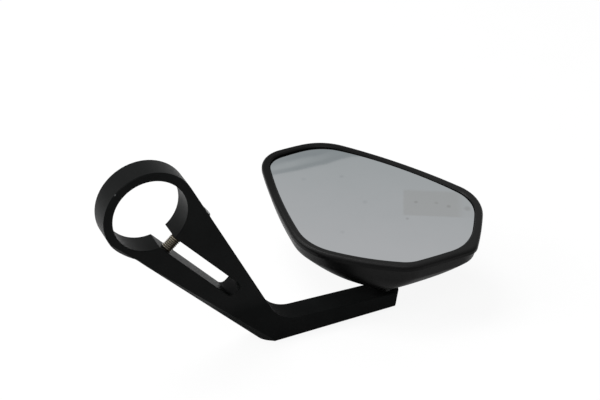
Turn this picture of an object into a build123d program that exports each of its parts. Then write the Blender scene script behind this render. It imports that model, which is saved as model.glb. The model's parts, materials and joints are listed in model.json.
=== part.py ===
"""Motorcycle bar end mirror: a split clamp arm cut from plate, a ball joint and a mirror head.

Millimetres. The origin is the middle of the clamp bore. +Y runs along the bar, +X along the leg that
carries the mirror head, and +Z up from the leg, the way the glass faces.
"""
import math
import os

from build123d import *

# Clamp ring and plate
bar_diameter = 38.0
ring_wall = 4.6
plate_depth = 14.0
edge_break = 0.4

# Clamp slot: angle below level, and distances measured along and across it from the bore centre
slot_angle = 46.6
slot_width = 8.1
slot_offset = 5.65
slot_reach = 70.5
slot_corner_radius = 3.0

# Arm edges, elbow and leg
right_edge_angle = 62.3
left_edge_angle = 45.5
left_edge_distance = 21.6
ring_blend_radius = 8.0
facet_angle = 2.5
leg_drop = 80.4
leg_reach = 140.8
leg_end_bow = 2.9
leg_end_draft = 6.0
leg_end_height = 8.5
leg_taper = 2.6
elbow_inner_radius = 18.5
elbow_outer_radius = 6.5

# Clamp screw, M6 low socket head
screw_diameter = 6.0
screw_length = 30.0
screw_head_diameter = 10.0
screw_head_height = 4.0
screw_key = 4.0
screw_key_depth = 2.3
screw_along = 24.3
screw_seat = 13.5
screw_clearance = 0.1
head_clearance = 0.35

# Ball stud, M6, with its thin nut held in a pocket under the leg
stud_end_distance = 6.6
ball_diameter = 10.0
neck_diameter = 5.0
stud_diameter = 5.0
stud_clearance = 0.05
nut_height = 2.7
nut_recess = 0.1
nut_across_flats = 8.0
nut_pocket_clearance = 0.1

# Ball joint inside the head, heights measured from the ball centre
ball_fit = 0.1
liner_wall = 1.0
liner_top = 1.0
seat_fit = 0.15
socket_wall = 2.25
mouth_angle = 46.0
liner_mouth_angle = 52.0
collar_diameter = 9.6
collar_gap = 0.3
collar_seat_gap = 0.1
boss_lift = 0.5
cup_bottom = 3.2
cup_top = 7.0
cup_fit = 0.2
spring_thickness = 0.6
spring_rise = 0.4
spring_hole = 5.2
plate_thickness = 1.5
plate_corner_radius = 3.2
plate_hole = 5.0
plate_clearance = 0.3
retainer_count = 3
retainer_circle = 18.5
retainer_angle = 52.0

# Small screws inside the head
small_screw_diameter = 3.0
small_screw_clearance = 0.1
small_head_diameter = 5.4
small_head_height = 1.8
retainer_screw_length = 5.0
carrier_screw_length = 7.0
pilot_extra = 0.5
head_sink = 0.25

# Head pose on the ball: how far it is tipped about X, then about Y
tip_about_x = 8.9
tip_about_y = -5.9

# Mirror outline: the opening's reach from the stud's axis, then its corners seen from the glass side
far_reach = 90.2
near_reach = 19.1
left_reach = 38.8
right_reach = 58.9
far_edge_fall = 1.9
near_edge_rise = 0.9
corner_far_left = (-30.1, far_reach)
corner_far_right = (2.7, far_reach - far_edge_fall)
corner_right = (right_reach, 11.7)
corner_near_right = (38.4, -near_reach)
corner_near_left = (4.4, near_edge_rise - near_reach)
corner_left = (-left_reach, 17.2)
corner_radii = (10.7, 28.9, 20.6, 22.5, 18.4, 30.5)
skin_radii = (14.9, 33.1, 24.8, 6.9, 22.6, 34.7)
side_bows = (1.2, 3.7, 1.3, 0.4, 2.7, 2.8)

# Housing, heights measured from the ball centre
rim_width = 4.2
rim_radius = 1.8
wall_draft = 1.55
rim_depth = 3.5
rim_step = 0.3
rim_inner_chamfer = 0.6
rim_top = 22.8
wall_foot = 12.0
belly_middle = 2.6
belly_share = 0.507
belly_bottom = -3.6
belly_end_diameter = 15.0
belly_end_place = (-3.6, 0.6)
shell_wall = 2.6
block_diameter = 26.0
post_diameter = 8.0
post_places = ((31.3, 16.0), (-16.7, 44.0), (1.3, 62.0))

# Glass, pad and carrier, domed about the middle of the outline
glass_top = 22.3
glass_thickness = 2.0
pad_thickness = 1.0
carrier_thickness = 2.0
dome_radius = 1600.0
glass_gap = 0.4
pad_inset = 2.5
carrier_gap = 0.6
post_gap = 0.05

# Sizes that follow from the ones above
bore_radius = bar_diameter / 2
ring_radius = bore_radius + ring_wall
half_depth = plate_depth / 2
ball_radius = ball_diameter / 2
liner_inner = ball_radius + ball_fit
liner_outer = liner_inner + liner_wall
socket_radius = liner_outer + seat_fit
boss_radius = socket_radius + socket_wall
stud_x = leg_reach - stud_end_distance
stud_grip = leg_end_height - nut_height - nut_recess
ball_centre = Vector(stud_x, 0, -leg_drop + boss_radius + boss_lift)
spring_height = spring_thickness + spring_rise
floor_height = cup_top + 2 * spring_height
small_hole = small_screw_diameter / 2 + small_screw_clearance
foot_spread = rim_width - rim_step - wall_draft
carrier_top = glass_thickness + pad_thickness
carrier_bottom = carrier_top + carrier_thickness
corners = (corner_far_left, corner_far_right, corner_right, corner_near_right, corner_near_left, corner_left)
dome_centre_x = (corner_left[0] + corner_right[0]) / 2
dome_centre_y = (corner_far_left[1] + corner_near_left[1]) / 2

# Where each moving part of the joint stands
collar_pose = Location(ball_centre)
liner_pose = Location(ball_centre) * Rotation(tip_about_x, 0, 0)
head_pose = Location(ball_centre) * Rotation(tip_about_x, tip_about_y, 0)


def direction(degrees):
    """Unit direction in the plate's own plane, counted up from level."""
    return Vector(math.cos(math.radians(degrees)), math.sin(math.radians(degrees)))


def upright(radius, low, high):
    """A cylinder on the Z axis between two heights."""
    return Pos(0, 0, low) * Cylinder(radius, high - low, align=(Align.CENTER, Align.CENTER, Align.MIN))


# The slot's own axes, and the screw's axis across it
along_slot = direction(-slot_angle)
across_slot = direction(90 - slot_angle)
screw_plane = Plane(
    origin=(along_slot.X * screw_along, 0, along_slot.Y * screw_along),
    x_dir=(0, 1, 0),
    z_dir=(across_slot.X, 0, across_slot.Y),
)


def leg_bottom_at(x):
    """Height of the leg's underside."""
    return -leg_drop - leg_end_height - (leg_reach - x) * math.tan(math.radians(leg_taper))


def arm_corners():
    """Corners of the arm and leg, in order: ring tangent, inner elbow, leg end, outer elbow, ring blend."""
    right_normal = direction(90 - right_edge_angle)
    left_normal = direction(90 - left_edge_angle)
    tangent = right_normal * ring_radius
    inner_elbow_x = (ring_radius + leg_drop * right_normal.Y) / right_normal.X
    slope = math.tan(math.radians(leg_taper))
    level = leg_bottom_at(0)
    outer_elbow_x = (-left_edge_distance - level * left_normal.Y) / (left_normal.X + slope * left_normal.Y)
    half_chord = math.sqrt(ring_radius**2 - left_edge_distance**2)
    blend = left_normal * -left_edge_distance + direction(-left_edge_angle) * half_chord
    return {
        "tangent": tangent,
        "inner_elbow": Vector(inner_elbow_x, -leg_drop),
        "leg_top_end": Vector(leg_reach, -leg_drop),
        "leg_bottom_end": Vector(leg_reach, leg_bottom_at(leg_reach)),
        "outer_elbow": Vector(outer_elbow_x, leg_bottom_at(outer_elbow_x)),
        "blend": blend,
    }


def clamp_arm():
    """One billet piece: split ring, slotted arm, elbow and leg."""
    places = arm_corners()
    profile = make_face(Polyline(*places.values(), close=True)) + Circle(ring_radius)
    for name, radius in (
        ("inner_elbow", elbow_inner_radius),
        ("outer_elbow", elbow_outer_radius),
        ("blend", ring_blend_radius),
    ):
        corner = profile.vertices().sort_by_distance(places[name])[0]
        profile = fillet(corner, radius)
    slot_middle = along_slot * (slot_reach / 2) - across_slot * slot_offset
    slot = Rectangle(slot_reach, slot_width)
    slot = fillet(slot.vertices().group_by(Axis.X)[-1], slot_corner_radius)
    slot = Pos(slot_middle.X, slot_middle.Y) * Rot(0, 0, -slot_angle) * slot
    profile = profile - Circle(bore_radius) - slot
    body = extrude(Plane.XZ * profile, half_depth, both=True) - leg_end_waste()
    outline = body.faces().filter_by(Axis.Y).edges()
    body = chamfer(outline, edge_break)
    body -= long_facet(places["blend"])
    body -= clamp_screw_hole()
    stud_hole = upright(stud_diameter / 2 + stud_clearance, -leg_drop - plate_depth, -leg_drop + plate_depth)
    body -= Pos(stud_x, 0, 0) * (stud_hole + hexagon(nut_pocket_clearance, plate_depth))
    return body


def leg_end_waste():
    """What is cut away to leave the leg's end bowed across its depth and drawn in below."""
    end_radius = (half_depth**2 + leg_end_bow**2) / (2 * leg_end_bow)
    draw_in = plate_depth * math.tan(math.radians(leg_end_draft))
    bow = Cone(end_radius - draw_in, end_radius, plate_depth, align=(Align.CENTER, Align.CENTER, Align.MAX))
    block = Box(end_radius, 2 * plate_depth, plate_depth, align=(Align.MIN, Align.CENTER, Align.MAX))
    return Pos(leg_reach - end_radius, 0, -leg_drop) * (block - bow)


def hexagon(clearance, depth):
    """Hexagon prism under the leg, for the nut or the pocket that holds it."""
    flats = RegularPolygon(nut_across_flats / 2 + clearance, 6, major_radius=False, rotation=30)
    return Pos(0, 0, -leg_drop - stud_grip - depth) * extrude(flats, depth)


def long_facet(start):
    """A flat cut along the lower front edge, nothing at the ring and wider towards the elbow."""
    edge = direction(-left_edge_angle)
    inward = direction(90 - left_edge_angle)
    widen = math.tan(math.radians(facet_angle))
    on_face = Vector(edge.X + inward.X * widen, 0, edge.Y + inward.Y * widen)
    on_side = Vector(edge.X, widen, edge.Y)
    outward = on_face.cross(on_side).normalized()
    if outward.Y > 0:
        outward = outward * -1
    cut_size = 2 * leg_reach
    cut = Plane(origin=(start.X, -half_depth, start.Y), x_dir=on_face, z_dir=outward)
    return cut * Box(cut_size, cut_size, plate_depth, align=(Align.CENTER, Align.CENTER, Align.MIN))


def clamp_screw_hole():
    """Hole for the clamp screw through both jaws, with a counterbore for its head."""
    shank = upright(screw_diameter / 2 + screw_clearance, -2 * ring_radius, screw_seat)
    counterbore = upright(screw_head_diameter / 2 + head_clearance, screw_seat, 2 * ring_radius)
    return screw_plane * (shank + counterbore)


def clamp_screw():
    """Socket head cap screw across the slot."""
    shank = upright(screw_diameter / 2, screw_seat - screw_length, screw_seat)
    head_top = screw_seat + screw_head_height
    head = upright(screw_head_diameter / 2, screw_seat, head_top)
    head = chamfer(head.edges().group_by(Axis.Z)[-1], edge_break)
    key = Pos(0, 0, head_top - screw_key_depth) * extrude(
        RegularPolygon(screw_key / 2, 6, major_radius=False), screw_key_depth
    )
    return screw_plane * (shank + head - key)


def ball_stud():
    """Ball, neck and threaded shank in one turned piece."""
    leg_top = -leg_drop - ball_centre.Z
    shank = upright(stud_diameter / 2, leg_top - stud_grip - nut_height, leg_top)
    shank = chamfer(shank.edges().group_by(Axis.Z)[0], edge_break)
    return collar_pose * (Sphere(ball_radius) + upright(neck_diameter / 2, leg_top, 0) + shank)


def stud_nut():
    """Thin hexagon nut that locks the stud, in its pocket."""
    top = -leg_drop - stud_grip
    corner_radius = nut_across_flats / math.sqrt(3)
    rounding = upright(corner_radius, top - nut_height, top)
    nut = hexagon(0, nut_height) & chamfer(rounding.edges().group_by(Axis.Z)[0], edge_break)
    nut -= upright(stud_diameter / 2 + stud_clearance, top - nut_height, top)
    return Pos(stud_x, 0, 0) * nut


def neck_collar():
    """Ring on the leg round the neck, dished to the round end of the head's boss."""
    leg_top = -leg_drop - ball_centre.Z
    ring = upright(collar_diameter / 2, leg_top + collar_seat_gap, 0)
    ring -= Sphere(boss_radius + collar_gap)
    ring -= upright(neck_diameter / 2 + collar_gap, leg_top, 0)
    return collar_pose * ring


def mouth_cone(half_angle, reach):
    """Cone under the ball that leaves the neck room to tilt."""
    width = reach * math.tan(math.radians(half_angle))
    return Pos(0, 0, -reach) * Cone(width, 0, reach, align=(Align.CENTER, Align.CENTER, Align.MIN))


def ball_liner():
    """Plastic liner, round inside and out, open below for the neck and above for assembly."""
    shell = Sphere(liner_outer) - Sphere(liner_inner)
    shell -= upright(2 * liner_outer, liner_top, 2 * liner_outer)
    shell -= mouth_cone(liner_mouth_angle, 2 * liner_outer)
    return liner_pose * shell


def upper_ball_seat():
    """Pressure cup with a round hollow for the top of the ball."""
    cup = upright(socket_radius - cup_fit, cup_bottom, cup_top) - Sphere(liner_inner)
    return head_pose * cup


def disc_spring(bottom, rising):
    """One coned disc spring. The two stand rim to rim or hole to hole."""
    outer = socket_radius - cup_fit
    inner = spring_hole / 2
    inner_lift, outer_lift = (spring_rise, 0) if rising else (0, spring_rise)
    section = make_face(
        Polyline(
            (inner, inner_lift),
            (outer, outer_lift),
            (outer, outer_lift + spring_thickness),
            (inner, inner_lift + spring_thickness),
            close=True,
        )
    )
    return head_pose * Pos(0, 0, bottom) * revolve(Plane.XZ * section, Axis.Z)


def on_retainer_circle():
    """Places of the retainer screws."""
    return PolarLocations(retainer_circle / 2, retainer_count, start_angle=retainer_angle)


def retainer_blank(clearance, height):
    """Rounded triangle on the socket's floor, for the plate or the recess round it."""
    inner_radius = retainer_circle / 4 + plate_corner_radius + clearance
    triangle = RegularPolygon(inner_radius, retainer_count, major_radius=False, rotation=retainer_angle)
    triangle = fillet(triangle.vertices(), plate_corner_radius + clearance)
    return Pos(0, 0, floor_height) * extrude(triangle, height)


def retainer_plate():
    """Steel plate that closes the socket over the springs."""
    plate = retainer_blank(0, plate_thickness)
    plate -= upright(plate_hole / 2, floor_height, floor_height + plate_thickness)
    hole = upright(small_hole, floor_height, floor_height + plate_thickness)
    for place in on_retainer_circle():
        plate -= place * hole
    return head_pose * plate


def small_screw(under_head, length):
    """Round head screw on the Z axis, with a cross recess left to its finish."""
    head = upright(small_head_diameter / 2, under_head, under_head + small_head_height)
    head = chamfer(head.edges().group_by(Axis.Z)[-1], small_head_height / 3)
    return head + upright(small_screw_diameter / 2, under_head - length, under_head)


def spread_corners(points, spread):
    """Corners of the same figure with every side moved outwards."""
    normals = []
    for index, point in enumerate(points):
        side = (points[(index + 1) % len(points)] - point).normalized()
        normals.append(Vector(-side.Y, side.X))
    moved = []
    for index, point in enumerate(points):
        before, after = normals[index - 1], normals[index]
        moved.append(point + (before + after) * (spread / (1 + before.dot(after))))
    return moved


def outline(spread=0.0, share=0.0):
    """The mirror's outline, widened by a spread, or drawn in by a share towards the round boss."""
    end_radius = belly_end_diameter / 2
    end_bow = end_radius * (1 - math.cos(math.radians(30))) / 2
    points = []
    for index, (x, y) in enumerate(corners):
        end = Vector(*belly_end_place) + direction(120 - 60 * index) * end_radius
        points.append(Vector(x + (end.X - x) * share, y + (end.Y - y) * share))
    points = spread_corners(points, spread)
    sides = []
    for index, point in enumerate(points):
        bow = side_bows[index] * (1 - share) + end_bow * share
        sides.append(SagittaArc(point, points[(index + 1) % len(points)], bow))
    face = make_face(sides)
    for point, inner, outer in zip(points, corner_radii, skin_radii):
        corner = face.vertices().sort_by_distance(point)[0]
        radius = inner + (outer - inner) * spread / rim_width
        face = fillet(corner, radius * (1 - share) + end_radius / 2 * share)
    return face


def prism(spread, low, high):
    """The mirror's outline pulled straight up between two heights."""
    return Pos(0, 0, low) * extrude(outline(spread), high - low)


def dome(below_glass_top):
    """A large ball whose top lies a given depth under the top of the glass."""
    place = Pos(dome_centre_x, dome_centre_y, glass_top - dome_radius) * Rot(90, 0, 0)
    return place * Sphere(dome_radius - below_glass_top)


def dome_height(x, y, below_glass_top):
    """Height of that ball's surface over one place."""
    radius = dome_radius - below_glass_top
    away = (x - dome_centre_x) ** 2 + (y - dome_centre_y) ** 2
    return glass_top - dome_radius + math.sqrt(radius**2 - away)


def belly(spread, lift):
    """The back of the housing: the outline at the wall's foot drawn in smoothly to the boss."""
    return loft(
        [
            Pos(0, 0, wall_foot + lift) * outline(spread),
            Pos(0, 0, belly_middle + lift) * outline(spread, belly_share),
            Pos(0, 0, belly_bottom + lift) * outline(0, 1),
        ]
    )


def housing_skin():
    """Outside of the housing: rounded rim, drafted wall, belly and round boss."""
    rim = prism(rim_width, rim_top - rim_depth, rim_top)
    rim = fillet(rim.edges().group_by(Axis.Z)[-1], rim_radius)
    wall_height = rim_top - rim_radius - wall_foot
    wall_angle = math.degrees(math.atan(wall_draft / wall_height))
    wall = Pos(0, 0, wall_foot) * extrude(outline(foot_spread), wall_height, taper=-wall_angle)
    return rim + wall + belly(foot_spread, 0) + Sphere(boss_radius)


def housing_hollow():
    """Inside of the housing, less the socket block and the posts that carry the glass."""
    hollow = belly(foot_spread - shell_wall, shell_wall)
    hollow -= upright(block_diameter / 2, belly_bottom, floor_height)
    hollow += retainer_blank(plate_clearance, wall_foot + shell_wall - floor_height)
    hollow += prism(0, wall_foot + shell_wall, rim_top)
    post_tops = dome(carrier_bottom + post_gap)
    for x, y in post_places:
        hollow -= Pos(x, y) * upright(post_diameter / 2, belly_bottom, rim_top) & post_tops
    return hollow


def mirror_housing():
    """Moulded shell with the boss that holds the ball and posts for the glass carrier."""
    body = housing_skin() - housing_hollow()
    opening = body.faces().sort_by(Axis.Z)[-1].inner_wires()
    body = chamfer(opening.edges(), rim_inner_chamfer)
    body -= Sphere(socket_radius)
    body -= upright(socket_radius, 0, floor_height)
    body -= mouth_cone(mouth_angle, 2 * boss_radius)
    pilot_bottom = floor_height + plate_thickness - retainer_screw_length - pilot_extra
    for place in on_retainer_circle():
        body -= place * upright(small_hole, pilot_bottom, floor_height + plate_thickness)
    for x, y in post_places:
        seat = dome_height(x, y, carrier_top) - head_sink
        body -= Pos(x, y) * upright(small_hole, seat - carrier_screw_length - pilot_extra, rim_top)
    return head_pose * body


def layer(spread, below_top, thickness):
    """One domed layer of the mirror: glass, pad or carrier."""
    return (prism(spread, wall_foot - shell_wall, rim_top) & dome(below_top)) - dome(below_top + thickness)


def flat_screw(x, y, clearance):
    """Flat head screw, or the space for one, through the carrier into its post."""
    top = dome_height(x, y, carrier_top) - head_sink
    head_radius = small_head_diameter / 2 + clearance
    shank_radius = small_screw_diameter / 2 + clearance
    sides = (Align.CENTER, Align.CENTER, Align.MAX)
    head = Pos(0, 0, top) * Cone(shank_radius, head_radius, head_radius - shank_radius, align=sides)
    return Pos(x, y) * (head + upright(shank_radius, top - carrier_screw_length, top))


def glass_carrier():
    """Plastic plate behind the glass, countersunk for its screws."""
    plate = layer(-carrier_gap, carrier_top, carrier_thickness)
    for x, y in post_places:
        plate -= flat_screw(x, y, small_screw_clearance)
        head_top = dome_height(x, y, carrier_top) - head_sink
        plate -= Pos(x, y) * upright(small_head_diameter / 2 + small_screw_clearance, head_top, rim_top)
    return head_pose * plate


def save(name, solid):
    """Write one node."""
    export_step(solid, f"parts/{name}.step")


def main():
    os.makedirs("parts", exist_ok=True)
    save("clamp_arm", clamp_arm())
    save("clamp_screw", clamp_screw())
    save("ball_stud", ball_stud())
    save("stud_nut", stud_nut())
    save("neck_collar", neck_collar())
    save("ball_liner", ball_liner())
    save("upper_ball_seat", upper_ball_seat())
    save("lower_disc_spring", disc_spring(cup_top, True))
    save("upper_disc_spring", disc_spring(cup_top + spring_height, False))
    save("retainer_plate", retainer_plate())
    for number, place in enumerate(on_retainer_circle(), 1):
        screw = small_screw(floor_height + plate_thickness, retainer_screw_length)
        save(f"retainer_screw_{number}", head_pose * place * screw)
    save("mirror_housing", mirror_housing())
    save("glass_carrier", glass_carrier())
    for number, (x, y) in enumerate(post_places, 1):
        save(f"carrier_screw_{number}", head_pose * flat_screw(x, y, 0))
    save("glass_pad", head_pose * layer(-pad_inset, glass_thickness, pad_thickness))
    save("mirror_glass", head_pose * layer(-glass_gap, 0, glass_thickness))


main()
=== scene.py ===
import json
import math

import bmesh
import bpy
from mathutils import Matrix, Vector

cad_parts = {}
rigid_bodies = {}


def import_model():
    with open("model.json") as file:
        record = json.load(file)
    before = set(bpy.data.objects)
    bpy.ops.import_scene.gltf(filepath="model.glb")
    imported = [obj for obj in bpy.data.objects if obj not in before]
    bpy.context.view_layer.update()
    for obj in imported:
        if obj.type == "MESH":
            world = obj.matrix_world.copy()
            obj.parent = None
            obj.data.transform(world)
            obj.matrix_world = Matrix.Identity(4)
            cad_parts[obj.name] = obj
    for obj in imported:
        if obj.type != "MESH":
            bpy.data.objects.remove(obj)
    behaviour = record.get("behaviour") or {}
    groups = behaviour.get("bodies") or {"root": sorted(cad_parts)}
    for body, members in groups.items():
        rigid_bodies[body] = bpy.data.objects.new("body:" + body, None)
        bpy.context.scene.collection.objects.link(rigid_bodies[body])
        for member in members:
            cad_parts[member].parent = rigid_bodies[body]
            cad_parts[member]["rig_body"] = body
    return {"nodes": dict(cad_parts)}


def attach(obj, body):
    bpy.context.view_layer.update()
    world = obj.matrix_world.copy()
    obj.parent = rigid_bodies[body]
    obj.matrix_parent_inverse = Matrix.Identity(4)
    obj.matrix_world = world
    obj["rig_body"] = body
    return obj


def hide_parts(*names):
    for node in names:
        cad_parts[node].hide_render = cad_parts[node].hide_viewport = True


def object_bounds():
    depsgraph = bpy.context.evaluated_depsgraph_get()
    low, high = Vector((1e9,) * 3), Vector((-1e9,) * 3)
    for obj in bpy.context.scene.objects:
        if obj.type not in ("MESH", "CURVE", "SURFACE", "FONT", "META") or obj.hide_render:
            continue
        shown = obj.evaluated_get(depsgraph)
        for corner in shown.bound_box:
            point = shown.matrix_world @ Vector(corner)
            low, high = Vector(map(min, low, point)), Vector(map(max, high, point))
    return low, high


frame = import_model()
cad_low, cad_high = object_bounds()

MM = 0.001

# Camera, found from the ring's bore, the arm's front face and the glass
camera_place = Vector((-197.293, -585.988, 375.388)) * MM
camera_azimuth = math.radians(-25.459)
camera_elevation = math.radians(30.918)
camera_roll = math.radians(1.462)
camera_lens = 90
camera_sensor = 36
camera_nearest = 0.01

# Softboxes, each with its place and size in metres and its watts
softboxes = (
    ("front_softbox", (-0.5, -0.9, 1.3), 0.9, 8),
    ("left_softbox", (-1.2, 0.35, 0.9), 0.7, 12),
    ("overhead_softbox", (-0.22, 0.33, 1.11), 0.6, 9),
)

# Floor just under the leg, and the wall whose sloping top edge shows in the mirror, in metres
floor_half = 6.0
floor_gap = 0.2 * MM
wall_distance = 2.0
wall_bottom = 0.9
wall_half = 2.5
wall_slope = math.radians(8.4)
wall_middle_top = 2.189
wall_rise = wall_half * math.tan(wall_slope)

# Where the mirror head sits on its ball, and how it is tipped there
ball_centre = Vector((134.2, 0.0, -71.4)) * MM
head_tip_x = math.radians(8.9)
head_tip_y = math.radians(-5.9)
head_turn = Matrix.Rotation(head_tip_x, 4, "X") @ Matrix.Rotation(head_tip_y, 4, "Y")

# Clamp screw: its line across the slot, and an M6 coarse thread
slot_angle = math.radians(46.6)
along_slot = Vector((math.cos(slot_angle), 0.0, -math.sin(slot_angle)))
across_slot = Vector((math.sin(slot_angle), 0.0, math.cos(slot_angle)))
screw_along_slot = 24.3 * MM
screw_seat = 13.5 * MM
screw_seat_place = along_slot * screw_along_slot + across_slot * screw_seat
seat_margin = 0.01 * MM
screw_length = 30 * MM
screw_plain_shank = 1.5 * MM
thread_crest = 3.0 * MM
thread_root = 2.46 * MM
thread_pitch = 1.0 * MM
thread_flank = 0.4 * MM
screw_head_radius = 5.0 * MM
knurl_ridges = 48
knurl_depth = 0.14 * MM
knurl_length = 2.8 * MM
knurl_start = 0.6 * MM
screw_facets = 48

# Edges bent more than the crease stay sharp, and so do slight bends between two broad flats
crease_angle = math.radians(32)
flat_angle = math.radians(0.3)
slight_bend = math.radians(1.5)
broad_flat = 150 * MM * MM
merge_distance = 0.0005 * MM


def colour(code):
    """An sRGB hex value as the linear colour that shaders take."""
    channels = [int(code[i:i + 2], 16) / 255 for i in (1, 3, 5)]
    linear = [c / 12.92 if c <= 0.04045 else ((c + 0.055) / 1.055) ** 2.4 for c in channels]
    return (*linear, 1.0)


def add(tree, kind, settings, sockets):
    """Adds a node with its settings. An input gets a value, or a link from a node or an output."""
    node = tree.nodes.new(kind)
    for name, value in settings.items():
        setattr(node, name, value)
    for name, value in sockets.items():
        if isinstance(name, int):
            target = node.inputs[name]
        else:
            target = next(s for s in node.inputs if s.name == name and s.enabled)
        if isinstance(value, bpy.types.Node):
            value = next(s for s in value.outputs if s.enabled)
        if isinstance(value, bpy.types.NodeSocket):
            tree.links.new(value, target)
        else:
            target.default_value = value
    return node


def grit(size_mm):
    """Pattern scale per metre for grains of that size."""
    return 1 / (size_mm * MM)


def new_material(name):
    """An empty node material, its tree and its object coordinates."""
    material = bpy.data.materials.new(name)
    material.use_nodes = True
    tree = material.node_tree
    tree.nodes.clear()
    place = add(tree, "ShaderNodeTexCoord", {}, {}).outputs["Object"]
    return material, tree, place


def black_anodised_aluminium():
    """Billet aluminium, bead blasted and dyed black: an even grain, a weak sheen, one bare chip."""
    material, tree, place = new_material("black_anodised_aluminium")

    # The blast's own grain is too fine to show, so it is drawn at half a millimetre
    blast = add(tree, "ShaderNodeTexNoise", {}, {
        "Vector": place, "Scale": grit(0.5), "Detail": 3.0})
    cloud = add(tree, "ShaderNodeTexNoise", {}, {
        "Vector": place, "Scale": grit(18), "Detail": 2.0})
    dye = add(tree, "ShaderNodeMapRange", {}, {
        "Value": cloud, "From Min": 0.35, "From Max": 0.65})
    film = add(tree, "ShaderNodeMix", {"data_type": "RGBA"}, {
        "Factor": dye, "A": colour("#040505"), "B": colour("#080909")})

    # Chip on the ring's front edge, with a ragged outline
    chip_place = Vector((-17.46, -7.0, 16.25)) * MM
    chip_reach = 1.1 * MM
    chip_edge = 0.15 * MM
    ragged = add(tree, "ShaderNodeTexNoise", {}, {
        "Vector": place, "Scale": grit(0.6), "Detail": 2.0})
    away = add(tree, "ShaderNodeVectorMath", {"operation": "DISTANCE"}, {0: place, 1: chip_place})
    worn = add(tree, "ShaderNodeMath", {"operation": "MULTIPLY"}, {0: ragged, 1: chip_reach})
    reach = add(tree, "ShaderNodeMath", {"operation": "SUBTRACT"}, {0: worn, 1: away})
    chip = add(tree, "ShaderNodeMapRange", {}, {
        "Value": reach, "From Min": -chip_edge, "From Max": chip_edge})
    chipped = add(tree, "ShaderNodeMix", {"data_type": "RGBA"}, {
        "Factor": chip, "A": film, "B": colour("#6A6C6C")})

    # The elbow and leg are blasted duller than the ring and arm
    dull_starts = -58 * MM
    dull_full = -68 * MM
    axes = add(tree, "ShaderNodeSeparateXYZ", {}, {0: place})
    low = add(tree, "ShaderNodeMapRange", {}, {
        "Value": axes.outputs["Z"], "From Min": dull_starts, "From Max": dull_full,
        "To Max": 0.35})
    even = add(tree, "ShaderNodeMapRange", {}, {
        "Value": blast, "From Min": 0.3, "From Max": 0.7, "To Min": 0.38, "To Max": 0.48})
    gloss = add(tree, "ShaderNodeMath", {"operation": "ADD"}, {0: even, 1: low})
    grain = add(tree, "ShaderNodeBump", {}, {
        "Strength": 0.12, "Distance": 0.03 * MM, "Height": blast})
    shader = add(tree, "ShaderNodeBsdfPrincipled", {}, {
        "Base Color": chipped, "Roughness": gloss, "Normal": grain, "Specular IOR Level": 0.05})
    add(tree, "ShaderNodeOutputMaterial", {}, {"Surface": shader})
    return material


def satin_black_abs():
    """ABS moulded in a spark eroded tool: deep black, a satin gloss, faint rubbed patches, dust and
    a painted sheen on the faces turned up.
    """
    material, tree, place = new_material("satin_black_abs")

    # The tool's own stipple is too fine to show, so it is drawn at 0.6 mm
    stipple = add(tree, "ShaderNodeTexNoise", {}, {
        "Vector": place, "Scale": grit(0.6), "Detail": 2.0})
    rubbing_and_highlight = add(tree, "ShaderNodeTexNoise", {}, {
        "Vector": place, "Scale": grit(14), "Detail": 3.0})
    patches = add(tree, "ShaderNodeMapRange", {}, {
        "Value": rubbing_and_highlight, "From Min": 0.35, "From Max": 0.7})
    skin = add(tree, "ShaderNodeMix", {"data_type": "RGBA"}, {
        "Factor": patches, "A": colour("#050505"), "B": colour("#080808")})

    # Dust and a painted sheen: the faces turned up are drawn lighter, less so towards the far end
    sheen_far = 70 * MM
    sheen_near = 25 * MM
    faces = add(tree, "ShaderNodeTexCoord", {}, {}).outputs["Normal"]
    head_up = head_turn.to_3x3() @ Vector((0.0, 0.0, 1.0))
    level = add(tree, "ShaderNodeVectorMath", {"operation": "DOT_PRODUCT"}, {0: faces, 1: head_up})
    lying = add(tree, "ShaderNodeMapRange", {}, {
        "Value": level, "From Min": 0.25, "From Max": 0.95})
    axes = add(tree, "ShaderNodeSeparateXYZ", {}, {0: place})
    near = add(tree, "ShaderNodeMapRange", {}, {
        "Value": axes.outputs["Y"], "From Min": sheen_far, "From Max": sheen_near,
        "To Min": 0.15, "To Max": 1.0})
    dust_and_sheen_amount = add(tree, "ShaderNodeMath", {"operation": "MULTIPLY"}, {0: lying, 1: near})
    dust_and_sheen = add(tree, "ShaderNodeMix", {"data_type": "RGBA"}, {
        "Factor": dust_and_sheen_amount, "A": skin, "B": colour("#1A1A1A")})

    both = add(tree, "ShaderNodeMath", {"operation": "ADD"}, {0: stipple, 1: rubbing_and_highlight})
    gloss = add(tree, "ShaderNodeMapRange", {}, {
        "Value": both, "From Min": 0.7, "From Max": 1.3, "To Min": 0.28, "To Max": 0.36})
    grain = add(tree, "ShaderNodeBump", {}, {
        "Strength": 0.10, "Distance": 0.03 * MM, "Height": stipple})
    shader = add(tree, "ShaderNodeBsdfPrincipled", {}, {
        "Base Color": dust_and_sheen, "Roughness": gloss, "Normal": grain, "Specular IOR Level": 0.06})
    add(tree, "ShaderNodeOutputMaterial", {}, {"Surface": shader})
    return material


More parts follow.
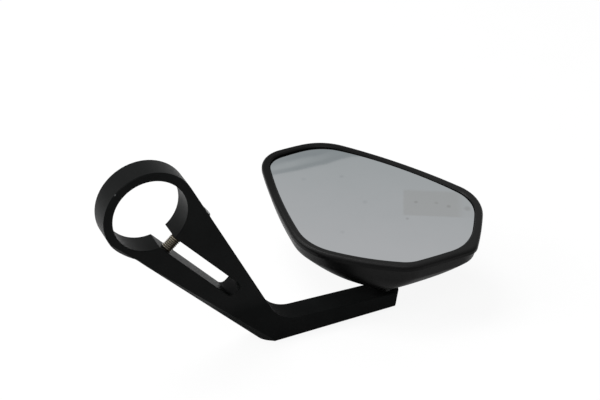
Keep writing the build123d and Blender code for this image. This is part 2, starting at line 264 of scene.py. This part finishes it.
def chromed_mirror_glass():
    """Glass with a chrome mirror coat: a calm grey picture of the room, a painted reflection
    gradient, dust and old adhesive.
    """
    material, tree, place = new_material("chromed_mirror_glass")

    # Places on the glass are in millimetres from the ball's centre, in the head's own directions
    on_glass = add(tree, "ShaderNodeMapping", {"vector_type": "TEXTURE"}, {
        "Vector": place, "Location": ball_centre, "Rotation": head_turn.to_euler("XYZ"),
        "Scale": (MM, MM, MM)})
    haze_size = 16
    speck_size = 1.2
    haze = add(tree, "ShaderNodeTexNoise", {}, {
        "Vector": on_glass, "Scale": 1 / haze_size, "Detail": 3.0})
    specks = add(tree, "ShaderNodeTexNoise", {}, {
        "Vector": on_glass, "Scale": 1 / speck_size, "Detail": 2.0})

    # Painted reflection gradient: lighter towards the near left edge, darker and bluer towards the
    # far side, clouded with noise
    cloud_reach = 24.0
    reflection_slant = 0.75
    reflection_near = 4.0
    reflection_far = 110.0
    axes = add(tree, "ShaderNodeSeparateXYZ", {}, {0: on_glass})
    drift = add(tree, "ShaderNodeMath", {"operation": "MULTIPLY_ADD"}, {
        0: haze, 1: cloud_reach, 2: axes.outputs["Y"]})
    slant = add(tree, "ShaderNodeMath", {"operation": "MULTIPLY_ADD"}, {
        0: axes.outputs["X"], 1: reflection_slant, 2: drift})
    painted_reflection = add(tree, "ShaderNodeMapRange", {}, {
        "Value": slant, "From Min": reflection_near, "From Max": reflection_far})
    surface = add(tree, "ShaderNodeMix", {"data_type": "RGBA"}, {
        "Factor": painted_reflection, "A": colour("#A7A9AB"), "B": colour("#979C9E")})

    # Adhesive patch, a rectangle turned on the glass, measured from its own corner
    patch_corner = (17.4, 16.3, 0.0)
    patch_turn = math.radians(-27)
    torn_edge = 1.4
    patch_film = 0.5
    patch_dullness = 0.05
    patch = add(tree, "ShaderNodeMapping", {"vector_type": "TEXTURE"}, {
        "Vector": on_glass, "Location": patch_corner, "Rotation": (0.0, 0.0, patch_turn)})
    ripple = add(tree, "ShaderNodeVectorMath", {"operation": "SCALE"}, {
        0: specks.outputs["Color"], "Scale": torn_edge})
    torn = add(tree, "ShaderNodeVectorMath", {"operation": "ADD"}, {0: patch, 1: ripple})
    sides = add(tree, "ShaderNodeSeparateXYZ", {}, {0: torn})

    # Each side of the patch: where the film starts, where it is whole, and what is left outside
    inside = 1.0
    for axis, outer, inner, left_over in (
        ("Y", 0.3, 1.5, 0.0),
        ("Y", 22.4, 20.4, 0.0),
        ("X", 0.3, 1.5, 0.0),
        ("X", 34.0, 29.5, 0.25),
    ):
        side = add(tree, "ShaderNodeMapRange", {}, {
            "Value": sides.outputs[axis], "From Min": outer, "From Max": inner,
            "To Min": left_over})
        inside = add(tree, "ShaderNodeMath", {"operation": "MULTIPLY"}, {0: inside, 1: side})
    film = add(tree, "ShaderNodeMath", {"operation": "MULTIPLY"}, {0: inside, 1: patch_film})
    surface = add(tree, "ShaderNodeMix", {"data_type": "RGBA"}, {
        "Factor": film, "A": surface, "B": colour("#939493")})

    # Grains stuck in the adhesive and smudges, each a place on the glass, a radius and a strength
    spot_core = 0.4
    spot_edge = 1.4
    flat = add(tree, "ShaderNodeVectorMath", {"operation": "MULTIPLY"}, {
        0: on_glass, 1: (1.0, 1.0, 0.0)})
    for across, along, radius, strength, tint in (
        (28.7, 23.0, 1.0, 0.40, "#757573"),
        (38.6, 17.9, 1.0, 0.30, "#787876"),
        (43.4, 12.8, 1.1, 0.40, "#757573"),
        (18.3, 13.0, 0.9, 0.35, "#7A7A7A"),
        (51.9, 7.2, 1.8, 0.35, "#7E7E7C"),
        (1.2, 59.2, 1.3, 0.25, "#808488"),
        (3.5, 34.4, 1.3, 0.22, "#808488"),
        (-17.8, 18.1, 1.2, 0.20, "#888B8E"),
        (-18.7, 66.2, 1.4, 0.16, "#808488"),
    ):
        away = add(tree, "ShaderNodeVectorMath", {"operation": "DISTANCE"}, {
            0: flat, 1: (across, along, 0.0)})
        spot = add(tree, "ShaderNodeMapRange", {}, {
            "Value": away, "From Min": radius * spot_core, "From Max": radius * spot_edge,
            "To Min": strength, "To Max": 0.0})
        surface = add(tree, "ShaderNodeMix", {"data_type": "RGBA"}, {
            "Factor": spot, "A": surface, "B": colour(tint)})

    dull = add(tree, "ShaderNodeMapRange", {}, {
        "Value": haze, "From Min": 0.3, "From Max": 0.7, "To Min": 0.02, "To Max": 0.035})
    gloss = add(tree, "ShaderNodeMath", {"operation": "MULTIPLY_ADD"}, {
        0: inside, 1: patch_dullness, 2: dull})
    shader = add(tree, "ShaderNodeBsdfPrincipled", {}, {
        "Base Color": surface, "Roughness": gloss, "Metallic": 1.0})
    add(tree, "ShaderNodeOutputMaterial", {}, {"Surface": shader})
    return material


def blackened_screw_steel():
    """Blackened steel: the head keeps its black; the thread has painted shade in its root and a
    painted highlight along one line.
    """
    material, tree, place = new_material("blackened_screw_steel")
    stain = add(tree, "ShaderNodeTexNoise", {}, {
        "Vector": place, "Scale": grit(2.5), "Detail": 2.0})

    # Painted shade in the thread's root, lighter metal on its crest
    root_shade_margin = 0.1 * MM
    from_seat = add(tree, "ShaderNodeVectorMath", {"operation": "SUBTRACT"}, {
        0: place, 1: screw_seat_place})
    on_axis = add(tree, "ShaderNodeVectorMath", {"operation": "PROJECT"}, {
        0: from_seat, 1: across_slot})
    radius = add(tree, "ShaderNodeVectorMath", {"operation": "DISTANCE"}, {
        0: from_seat, 1: on_axis})
    crest_share = add(tree, "ShaderNodeMapRange", {}, {
        "Value": radius, "From Min": thread_root + root_shade_margin,
        "From Max": thread_crest - root_shade_margin})

    # A painted highlight runs along the screw, on the side that faces the bore
    highlight_line = 1.9 * MM
    highlight_core = 0.4 * MM
    highlight_edge = 1.7 * MM
    boreward = add(tree, "ShaderNodeVectorMath", {"operation": "DOT_PRODUCT"}, {
        0: from_seat, 1: -along_slot})
    off_line = add(tree, "ShaderNodeMath", {"operation": "SUBTRACT"}, {
        0: boreward, 1: highlight_line})
    away = add(tree, "ShaderNodeMath", {"operation": "ABSOLUTE"}, {0: off_line})
    rubbing_and_highlight = add(tree, "ShaderNodeMapRange", {}, {
        "Value": away, "From Min": highlight_core, "From Max": highlight_edge,
        "To Min": 1.0, "To Max": 0.0})
    crest_with_highlight = add(tree, "ShaderNodeMix", {"data_type": "RGBA"}, {
        "Factor": rubbing_and_highlight, "A": colour("#8E887C"), "B": colour("#E4DED2")})
    thread_with_root_shade = add(tree, "ShaderNodeMix", {"data_type": "RGBA"}, {
        "Factor": crest_share, "A": colour("#1E1A14"), "B": crest_with_highlight})

    # The black starts just below the head's seat
    black_starts = screw_seat - 3 * MM
    black_full = screw_seat - 1 * MM
    height = add(tree, "ShaderNodeVectorMath", {"operation": "DOT_PRODUCT"}, {
        0: place, 1: across_slot})
    black = add(tree, "ShaderNodeMapRange", {}, {
        "Value": height, "From Min": black_starts, "From Max": black_full})
    surface = add(tree, "ShaderNodeMix", {"data_type": "RGBA"}, {
        "Factor": black, "A": thread_with_root_shade, "B": colour("#1E1E1E")})
    gloss = add(tree, "ShaderNodeMapRange", {}, {
        "Value": stain, "From Min": 0.3, "From Max": 0.7, "To Min": 0.30, "To Max": 0.42})
    shader = add(tree, "ShaderNodeBsdfPrincipled", {}, {
        "Base Color": surface, "Roughness": gloss, "Metallic": 1.0})
    add(tree, "ShaderNodeOutputMaterial", {}, {"Surface": shader})
    return material


def zinc_plated_steel():
    """Bright zinc plate: a cool silver with a faint straw tint that drifts over the part."""
    material, tree, place = new_material("zinc_plated_steel")
    tint = add(tree, "ShaderNodeTexNoise", {}, {
        "Vector": place, "Scale": grit(3), "Detail": 2.0})
    straw = add(tree, "ShaderNodeMapRange", {}, {
        "Value": tint, "From Min": 0.35, "From Max": 0.65})
    plate = add(tree, "ShaderNodeMix", {"data_type": "RGBA"}, {
        "Factor": straw, "A": colour("#B4B8BA"), "B": colour("#C2BFB2")})
    gloss = add(tree, "ShaderNodeMapRange", {}, {
        "Value": tint, "From Min": 0.3, "From Max": 0.7, "To Min": 0.24, "To Max": 0.36})
    shader = add(tree, "ShaderNodeBsdfPrincipled", {}, {
        "Base Color": plate, "Roughness": gloss, "Metallic": 1.0})
    add(tree, "ShaderNodeOutputMaterial", {}, {"Surface": shader})
    return material


def black_nylon():
    """Moulded black nylon: a slightly grey black with a waxy, finely pitted skin."""
    material, tree, place = new_material("black_nylon")

    # The skin's own pits are too fine to show, so they are drawn at half a millimetre
    pits = add(tree, "ShaderNodeTexNoise", {}, {
        "Vector": place, "Scale": grit(0.5), "Detail": 2.0})
    wax = add(tree, "ShaderNodeMapRange", {}, {
        "Value": pits, "From Min": 0.3, "From Max": 0.7})
    skin = add(tree, "ShaderNodeMix", {"data_type": "RGBA"}, {
        "Factor": wax, "A": colour("#0C0C0C"), "B": colour("#121212")})
    gloss = add(tree, "ShaderNodeMapRange", {}, {
        "Value": pits, "From Min": 0.3, "From Max": 0.7, "To Min": 0.16, "To Max": 0.26})
    grain = add(tree, "ShaderNodeBump", {}, {
        "Strength": 0.1, "Distance": 0.02 * MM, "Height": pits})
    shader = add(tree, "ShaderNodeBsdfPrincipled", {}, {
        "Base Color": skin, "Roughness": gloss, "Normal": grain, "Specular IOR Level": 0.5})
    add(tree, "ShaderNodeOutputMaterial", {}, {"Surface": shader})
    return material


def natural_acetal():
    """Turned natural acetal: a milky white with a soft gloss and slightly warmer clouds."""
    material, tree, place = new_material("natural_acetal")
    milk = add(tree, "ShaderNodeTexNoise", {}, {
        "Vector": place, "Scale": grit(2), "Detail": 2.0})
    clouds = add(tree, "ShaderNodeMapRange", {}, {
        "Value": milk, "From Min": 0.35, "From Max": 0.65})
    body = add(tree, "ShaderNodeMix", {"data_type": "RGBA"}, {
        "Factor": clouds, "A": colour("#E6E4DC"), "B": colour("#F0EEE8")})
    gloss = add(tree, "ShaderNodeMapRange", {}, {
        "Value": milk, "From Min": 0.3, "From Max": 0.7, "To Min": 0.34, "To Max": 0.44})
    shader = add(tree, "ShaderNodeBsdfPrincipled", {}, {"Base Color": body, "Roughness": gloss})
    add(tree, "ShaderNodeOutputMaterial", {}, {"Surface": shader})
    return material


def black_adhesive_foam():
    """Closed cell polyethylene foam tape: matt black with small open cells on its cut edge."""
    material, tree, place = new_material("black_adhesive_foam")
    cells = add(tree, "ShaderNodeTexVoronoi", {}, {"Vector": place, "Scale": grit(0.6)})
    open_cells = add(tree, "ShaderNodeMapRange", {}, {
        "Value": cells, "From Min": 0.1, "From Max": 0.6})
    foam_wall = add(tree, "ShaderNodeMix", {"data_type": "RGBA"}, {
        "Factor": open_cells, "A": colour("#0E0E0E"), "B": colour("#2A2A2A")})
    gloss = add(tree, "ShaderNodeMapRange", {}, {
        "Value": cells, "From Min": 0.1, "From Max": 0.6, "To Min": 0.95, "To Max": 0.8})
    grain = add(tree, "ShaderNodeBump", {}, {
        "Strength": 0.5, "Distance": 0.1 * MM, "Height": cells})
    shader = add(tree, "ShaderNodeBsdfPrincipled", {}, {
        "Base Color": foam_wall, "Roughness": gloss, "Normal": grain})
    add(tree, "ShaderNodeOutputMaterial", {}, {"Surface": shader})
    return material


def pale_studio_paper():
    """White studio paper: the camera, metal and glass see it white, and it keeps a faint shadow."""
    material, tree, place = new_material("pale_studio_paper")
    fibre = add(tree, "ShaderNodeTexNoise", {}, {
        "Vector": place, "Scale": grit(30), "Detail": 2.0})
    pulp = add(tree, "ShaderNodeMapRange", {}, {
        "Value": fibre, "From Min": 0.3, "From Max": 0.7})
    sheet = add(tree, "ShaderNodeMix", {"data_type": "RGBA"}, {
        "Factor": pulp, "A": colour("#F2F2F2"), "B": colour("#F6F6F6")})
    shader = add(tree, "ShaderNodeBsdfPrincipled", {}, {
        "Base Color": sheet, "Roughness": 0.9, "Specular IOR Level": 0.0})

    # How white the paper is to a ray that sees it, straight or in a reflection
    white_seen = 0.9
    white_mirrored = 0.25
    rays = add(tree, "ShaderNodeLightPath", {}, {}).outputs
    seen = add(tree, "ShaderNodeMath", {"operation": "MAXIMUM"}, {
        0: rays["Is Camera Ray"], 1: rays["Is Transmission Ray"]})
    mirrored = add(tree, "ShaderNodeMath", {"operation": "MULTIPLY"}, {
        0: rays["Is Glossy Ray"], 1: white_mirrored})
    whiteness = add(tree, "ShaderNodeMath", {"operation": "MULTIPLY_ADD"}, {
        0: seen, 1: white_seen, 2: mirrored})
    white = add(tree, "ShaderNodeEmission", {}, {"Color": colour("#FFFFFF"), "Strength": 1.0})
    both = add(tree, "ShaderNodeMixShader", {}, {0: whiteness, 1: shader, 2: white})
    add(tree, "ShaderNodeOutputMaterial", {}, {"Surface": both})
    return material


def glowing_wall_backdrop():
    """A pale blue grey wall that glows, though it is no lamp, with its light painted on: the mirror
    shows its top edge as a darker band with streaks.
    """
    material, tree, place = new_material("glowing_wall_backdrop")

    # Brush streaks, drawn out along the wall's sloping top edge
    streak_stretch = (0.8, 1.0, 14.0)
    level = add(tree, "ShaderNodeMapping", {"vector_type": "TEXTURE"}, {
        "Vector": place, "Location": (0.0, 0.0, wall_middle_top),
        "Rotation": (0.0, -wall_slope, 0.0)})
    flat = add(tree, "ShaderNodeVectorMath", {"operation": "MULTIPLY"}, {
        0: level, 1: streak_stretch})
    streak = add(tree, "ShaderNodeTexNoise", {}, {"Vector": flat, "Scale": 1.6, "Detail": 2.0})
    brushed = add(tree, "ShaderNodeMapRange", {}, {
        "Value": streak, "From Min": 0.3, "From Max": 0.7})
    wall_glow_colour = add(tree, "ShaderNodeMix", {"data_type": "RGBA"}, {
        "Factor": brushed, "A": colour("#D3D7D9"), "B": colour("#DCDFE0")})

    # Painted light on the glowing wall: paler towards the left, with a pale strip below the top
    # edge that fades to the right
    pale_left = {"From Min": 0.80, "From Max": 0.69, "To Max": 0.25}
    strip_bottom = {"From Min": -0.086, "From Max": -0.068}
    strip_top = {"From Min": -0.030, "From Max": -0.046}
    strip_fade = {"From Min": 0.96, "From Max": 0.78, "To Min": 0.2}
    axes = add(tree, "ShaderNodeSeparateXYZ", {}, {0: level}).outputs
    left = add(tree, "ShaderNodeMapRange", {}, {"Value": axes["X"], **pale_left})
    wall_glow_colour = add(tree, "ShaderNodeMix", {"data_type": "RGBA"}, {
        "Factor": left, "A": wall_glow_colour, "B": colour("#FFFFFF")})
    below = add(tree, "ShaderNodeMapRange", {}, {"Value": axes["Z"], **strip_bottom})
    above = add(tree, "ShaderNodeMapRange", {}, {"Value": axes["Z"], **strip_top})
    fade = add(tree, "ShaderNodeMapRange", {}, {"Value": axes["X"], **strip_fade})
    strip = add(tree, "ShaderNodeMath", {"operation": "MULTIPLY"}, {0: below, 1: above})
    pale = add(tree, "ShaderNodeMath", {"operation": "MULTIPLY"}, {0: strip, 1: fade})
    wall_glow_colour = add(tree, "ShaderNodeMix", {"data_type": "RGBA"}, {
        "Factor": pale, "A": wall_glow_colour, "B": colour("#F4F6F6")})
    glow = add(tree, "ShaderNodeEmission", {}, {"Color": wall_glow_colour, "Strength": 1.0})
    add(tree, "ShaderNodeOutputMaterial", {}, {"Surface": glow})
    return material


def mark_creases(work):
    """Marks edges sharp past the crease angle, and where two broad flats meet at a slight bend."""
    broad = {}
    for start in work.faces:
        if start in broad:
            continue
        broad[start] = False
        flat = [start]
        for face in flat:
            for edge in face.edges:
                for other in edge.link_faces:
                    if other not in broad and face.normal.angle(other.normal, 0.0) < flat_angle:
                        broad[other] = False
                        flat.append(other)
        if sum(face.calc_area() for face in flat) > broad_flat:
            broad.update((face, True) for face in flat)
    for edge in work.edges:
        if len(edge.link_faces) == 2:
            first, second = edge.link_faces
            bend = first.normal.angle(second.normal, 0.0)
            both_broad = broad[first] and broad[second]
            edge.smooth = bend < (slight_bend if both_broad else crease_angle)


def merged_faces(node_name):
    """A CAD node's triangles, joined along their edges."""
    work = bmesh.new()
    work.from_mesh(frame["nodes"][node_name].data)
    bmesh.ops.remove_doubles(work, verts=work.verts, dist=merge_distance)
    return work


def placed_piece(piece_name, work, node_name, material):
    """Makes the piece that stands for a CAD node, from merged faces, smooth between its creases."""
    work.normal_update()
    mark_creases(work)
    mesh = bpy.data.meshes.new(piece_name)
    work.to_mesh(mesh)
    work.free()
    mesh.materials.append(material)
    for face in mesh.polygons:
        face.material_index = 0
        face.use_smooth = True
    piece = bpy.data.objects.new(piece_name, mesh)
    bpy.context.scene.collection.objects.link(piece)
    weighted = piece.modifiers.new("even_shading", "WEIGHTED_NORMAL")
    weighted.keep_sharp = True
    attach(piece, frame["nodes"][node_name]["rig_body"])
    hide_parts(node_name)


def screw_thread_tree():
    """Geometry nodes for a screw: a thread ridge on a core, a plain shank and the head's knurl."""
    tree = bpy.data.node_groups.new("cap_screw_thread", "GeometryNodeTree")
    inputs = {
        "Crest Radius": "NodeSocketFloat",
        "Root Radius": "NodeSocketFloat",
        "Pitch": "NodeSocketFloat",
        "Flank Reach": "NodeSocketFloat",
        "Thread Length": "NodeSocketFloat",
        "Shank Length": "NodeSocketFloat",
        "Head Radius": "NodeSocketFloat",
        "Knurl Ridges": "NodeSocketInt",
        "Knurl Depth": "NodeSocketFloat",
        "Knurl Length": "NodeSocketFloat",
        "Knurl Start": "NodeSocketFloat",
        "Finish": "NodeSocketMaterial",
    }
    for name, kind in inputs.items():
        tree.interface.new_socket(name, in_out="INPUT", socket_type=kind)
    tree.interface.new_socket("Geometry", in_out="OUTPUT", socket_type="NodeSocketGeometry")
    given = add(tree, "NodeGroupInput", {}, {}).outputs

    # Ridge: a diamond that winds round the core right-handed, its inner half sunk in it
    turns = add(tree, "ShaderNodeMath", {"operation": "DIVIDE"}, {
        0: given["Thread Length"], 1: given["Pitch"]})
    spiral = add(tree, "GeometryNodeCurveSpiral", {}, {
        "Resolution": screw_facets, "Rotations": turns, "Start Radius": given["Root Radius"],
        "End Radius": given["Root Radius"], "Height": given["Thread Length"], "Reverse": True})
    winding = add(tree, "GeometryNodeSetCurveNormal", {"mode": "Z_UP"}, {0: spiral})
    rise = add(tree, "ShaderNodeMath", {"operation": "SUBTRACT"}, {
        0: given["Crest Radius"], 1: given["Root Radius"]})
    depth = add(tree, "ShaderNodeMath", {"operation": "MULTIPLY"}, {0: rise, 1: 2.0})
    profile = add(tree, "GeometryNodeCurvePrimitiveQuadrilateral", {"mode": "KITE"}, {
        "Width": depth, "Bottom Height": given["Flank Reach"], "Top Height": given["Flank Reach"]})
    ridge = add(tree, "GeometryNodeCurveToMesh", {}, {
        "Curve": winding, "Profile Curve": profile, "Fill Caps": True})

    # Core, and the plain shank on top of it
    barrels = []
    for radius, length, start in (
        (given["Root Radius"], given["Thread Length"], 0.0),
        (given["Crest Radius"], given["Shank Length"], given["Thread Length"]),
    ):
        barrel = add(tree, "GeometryNodeMeshCylinder", {}, {
            "Vertices": screw_facets, "Radius": radius, "Depth": length})
        lift = add(tree, "ShaderNodeMath", {"operation": "MULTIPLY_ADD"}, {
            0: length, 1: 0.5, 2: start})
        middle = add(tree, "ShaderNodeCombineXYZ", {}, {"Z": lift})
        barrels.append(add(tree, "GeometryNodeTransform", {}, {
            "Geometry": barrel, "Translation": middle}))

    # Knurl: straight square ridges round the head, each with an edge turned outwards
    edge_turn = (0.0, 0.0, math.radians(45))
    edge_scale = (0.7071, 0.7071, 1.0)
    ring = add(tree, "GeometryNodeMeshCircle", {}, {
        "Vertices": given["Knurl Ridges"], "Radius": given["Head Radius"]})
    point = add(tree, "GeometryNodeInputPosition", {}, {})
    turned = add(tree, "FunctionNodeAlignRotationToVector", {"axis": "X"}, {"Vector": point})
    tooth_width = add(tree, "ShaderNodeMath", {"operation": "MULTIPLY"}, {
        0: given["Knurl Depth"], 1: 2.0})
    tooth_size = add(tree, "ShaderNodeCombineXYZ", {}, {
        "X": tooth_width, "Y": tooth_width, "Z": given["Knurl Length"]})
    tooth = add(tree, "GeometryNodeMeshCube", {}, {"Size": tooth_size})
    edge_out = add(tree, "GeometryNodeTransform", {}, {
        "Geometry": tooth, "Rotation": edge_turn, "Scale": edge_scale})
    teeth = add(tree, "GeometryNodeInstanceOnPoints", {}, {
        "Points": ring, "Instance": edge_out, "Rotation": turned})
    above = add(tree, "ShaderNodeMath", {"operation": "MULTIPLY_ADD"}, {
        0: given["Knurl Length"], 1: 0.5, 2: given["Knurl Start"]})
    seat = add(tree, "ShaderNodeMath", {"operation": "ADD"}, {
        0: given["Thread Length"], 1: given["Shank Length"]})
    knurl_lift = add(tree, "ShaderNodeMath", {"operation": "ADD"}, {0: seat, 1: above})
    knurl_middle = add(tree, "ShaderNodeCombineXYZ", {}, {"Z": knurl_lift})
    knurl = add(tree, "GeometryNodeTransform", {}, {
        "Geometry": teeth, "Translation": knurl_middle})

    joined = add(tree, "GeometryNodeJoinGeometry", {}, {})
    for part in (ridge, *barrels, knurl):
        tree.links.new(part.outputs[0], joined.inputs[0])
    solid = add(tree, "GeometryNodeRealizeInstances", {}, {0: joined})
    finished = add(tree, "GeometryNodeSetMaterial", {}, {
        "Geometry": solid, "Material": given["Finish"]})
    add(tree, "NodeGroupOutput", {}, {0: finished})
    return tree


def threaded_clamp_screw(material):
    """The clamp screw, its thread and knurl from geometry nodes, its head from the CAD node."""
    tree = screw_thread_tree()
    sizes = {
        "Crest Radius": thread_crest,
        "Root Radius": thread_root,
        "Pitch": thread_pitch,
        "Flank Reach": thread_flank,
        "Thread Length": screw_length - screw_plain_shank,
        "Shank Length": screw_plain_shank,
        "Head Radius": screw_head_radius,
        "Knurl Ridges": knurl_ridges,
        "Knurl Depth": knurl_depth,
        "Knurl Length": knurl_length,
        "Knurl Start": knurl_start,
        "Finish": material,
    }
    maker = bpy.data.objects.new("clamp_screw_maker", bpy.data.meshes.new("clamp_screw_maker"))
    bpy.context.scene.collection.objects.link(maker)
    modifier = maker.modifiers.new("cap_screw_thread", "NODES")
    modifier.node_group = tree
    for socket in tree.interface.items_tree:
        if socket.in_out == "INPUT":
            modifier[socket.identifier] = sizes[socket.name]
    evaluated = maker.evaluated_get(bpy.context.evaluated_depsgraph_get())
    mesh = bpy.data.meshes.new_from_object(evaluated)
    maker.modifiers.clear()
    bpy.data.objects.remove(maker)

    # The nodes make the screw upright from its tip, so it is turned and moved into the slot
    place = across_slot.to_track_quat("Z", "Y").to_matrix().to_4x4()
    place.translation = screw_seat_place - across_slot * screw_length
    mesh.transform(place)

    # The head's own faces are the CAD node's, everything above the seat
    work = merged_faces("clamp_screw")
    below = []
    for face in work.faces:
        height = (face.calc_center_median() - screw_seat_place).dot(across_slot)
        if height < -seat_margin:
            below.append(face)
    bmesh.ops.delete(work, geom=below, context="FACES")
    work.from_mesh(mesh)
    placed_piece("clamp_screw_threaded", work, "clamp_screw", material)


def flat_sheet(name, corners, material):
    """A stage sheet through its corners."""
    mesh = bpy.data.meshes.new(name)
    mesh.from_pydata(corners, [], [tuple(range(len(corners)))])
    mesh.materials.append(material)
    sheet = bpy.data.objects.new(name, mesh)
    bpy.context.scene.collection.objects.link(sheet)


def softbox(name, place, aim, size, watts):
    """A square softbox that faces its aim."""
    lamp = bpy.data.lights.new(name, "AREA")
    lamp.shape = "SQUARE"
    lamp.size = size
    lamp.energy = watts
    box = bpy.data.objects.new(name, lamp)
    box.location = place
    box.rotation_euler = (aim - Vector(place)).to_track_quat("-Z", "Y").to_euler()
    bpy.context.scene.collection.objects.link(box)


# Finishes
anodised = black_anodised_aluminium()
abs_plastic = satin_black_abs()
mirror = chromed_mirror_glass()
screw_steel = blackened_screw_steel()
zinc = zinc_plated_steel()
nylon = black_nylon()
acetal = natural_acetal()
foam = black_adhesive_foam()

# Each CAD node with its finished piece, its record slot and its finish
finished_nodes = (
    ("clamp_arm", "billet_clamp_arm", "black_anodised", anodised),
    ("ball_stud", "turned_ball_stud", "zinc_steel", zinc),
    ("stud_nut", "thin_stud_nut", "zinc_steel", zinc),
    ("neck_collar", "dished_neck_collar", "black_nylon", nylon),
    ("ball_liner", "split_ball_liner", "white_acetal", acetal),
    ("upper_ball_seat", "pressure_ball_seat", "white_acetal", acetal),
    ("lower_disc_spring", "lower_spring_washer", "zinc_steel", zinc),
    ("upper_disc_spring", "upper_spring_washer", "zinc_steel", zinc),
    ("retainer_plate", "socket_retainer_plate", "zinc_steel", zinc),
    ("retainer_screw_1", "retainer_cap_screw_1", "zinc_steel", zinc),
    ("retainer_screw_2", "retainer_cap_screw_2", "zinc_steel", zinc),
    ("retainer_screw_3", "retainer_cap_screw_3", "zinc_steel", zinc),
    ("mirror_housing", "moulded_mirror_housing", "housing_plastic", abs_plastic),
    ("glass_carrier", "moulded_glass_carrier", "black_nylon", nylon),
    ("carrier_screw_1", "carrier_flat_screw_1", "zinc_steel", zinc),
    ("carrier_screw_2", "carrier_flat_screw_2", "zinc_steel", zinc),
    ("carrier_screw_3", "carrier_flat_screw_3", "zinc_steel", zinc),
    ("glass_pad", "die_cut_glass_pad", "foam_pad", foam),
    ("mirror_glass", "convex_mirror_pane", "mirror_glass", mirror),
)
for node_name, piece_name, slot, material in finished_nodes:
    placed_piece(piece_name, merged_faces(node_name), node_name, material)
threaded_clamp_screw(screw_steel)

# Floor and wall
floor_height = cad_low.z - floor_gap
floor_corners = [
    (-floor_half, -floor_half, floor_height),
    (floor_half, -floor_half, floor_height),
    (floor_half, floor_half, floor_height),
    (-floor_half, floor_half, floor_height),
]
flat_sheet("studio_floor", floor_corners, pale_studio_paper())
wall_corners = [
    (-wall_half, wall_distance, wall_bottom),
    (wall_half, wall_distance, wall_bottom),
    (wall_half, wall_distance, wall_middle_top + wall_rise),
    (-wall_half, wall_distance, wall_middle_top - wall_rise),
]
flat_sheet("studio_wall", wall_corners, glowing_wall_backdrop())

# World: white where it is seen, a soft even light elsewhere
world = bpy.data.worlds.new("studio_air")
bpy.context.scene.world = world
world.use_nodes = True
air = world.node_tree
air.nodes.clear()
rays = add(air, "ShaderNodeLightPath", {}, {}).outputs
direct = add(air, "ShaderNodeMath", {"operation": "MAXIMUM"}, {
    0: rays["Is Camera Ray"], 1: rays["Is Glossy Ray"]})
seen = add(air, "ShaderNodeMath", {"operation": "MAXIMUM"}, {
    0: direct, 1: rays["Is Transmission Ray"]})
strength = add(air, "ShaderNodeMapRange", {}, {"Value": seen, "To Min": 0.35, "To Max": 1.0})
glow = add(air, "ShaderNodeBackground", {}, {"Color": colour("#FFFFFF"), "Strength": strength})
add(air, "ShaderNodeOutputWorld", {}, {"Surface": glow})

# Lights, all turned to the middle of the object
middle = (cad_low + cad_high) / 2
for name, place, size, watts in softboxes:
    softbox(name, place, middle, size, watts)

# Camera
camera_data = bpy.data.cameras.new("photo_camera")
camera_data.lens = camera_lens
camera_data.sensor_fit = "HORIZONTAL"
camera_data.sensor_width = camera_sensor
camera_data.clip_start = camera_nearest
camera = bpy.data.objects.new("photo_camera", camera_data)
heading = Matrix.Rotation(camera_azimuth, 4, "Z")
tilt = Matrix.Rotation(math.pi / 2 - camera_elevation, 4, "X")
roll = Matrix.Rotation(camera_roll, 4, "Z")
camera.matrix_world = Matrix.Translation(camera_place) @ heading @ (tilt @ roll)
bpy.context.scene.collection.objects.link(camera)
bpy.context.scene.camera = camera
bpy.context.scene.view_settings.view_transform = "Standard"
